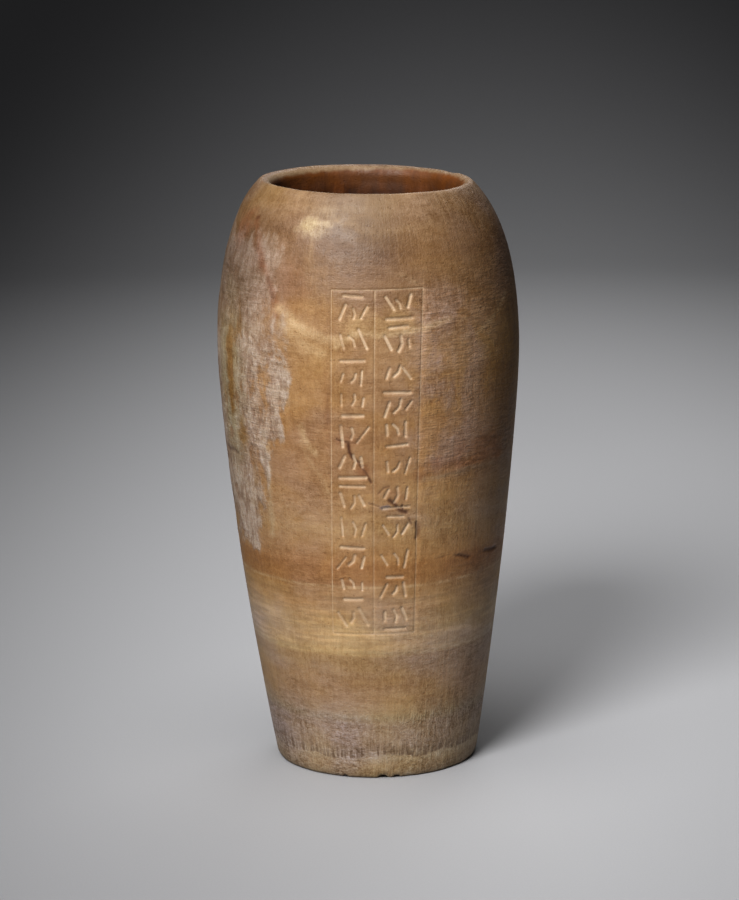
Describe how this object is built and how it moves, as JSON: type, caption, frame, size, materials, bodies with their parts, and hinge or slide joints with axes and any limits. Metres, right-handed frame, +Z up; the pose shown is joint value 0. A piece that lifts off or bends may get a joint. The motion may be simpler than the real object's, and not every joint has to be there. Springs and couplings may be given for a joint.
{
  "type": "canopic jar body",
  "caption": "Tall tapered stone jar without its lid: high rounded shoulder, wide open mouth, flat foot and a ruled panel of shallow strokes on the front.",
  "frame": {"origin": "on the belly's axis, at the level of the flat underside", "axes": "+Z up along the jar's axis; the ruled panel faces -Y; +X is on the viewer's right"},
  "size_m": [0.1744, 0.1744, 0.3413],
  "materials": {
    "travertine": "banded honey-brown travertine, hand smoothed to a soft sheen, weathered rough on its left side, with pale strokes cut into the front"
  },
  "bodies": {
    "root": {"jar": "travertine"}
  },
  "joints": []
}
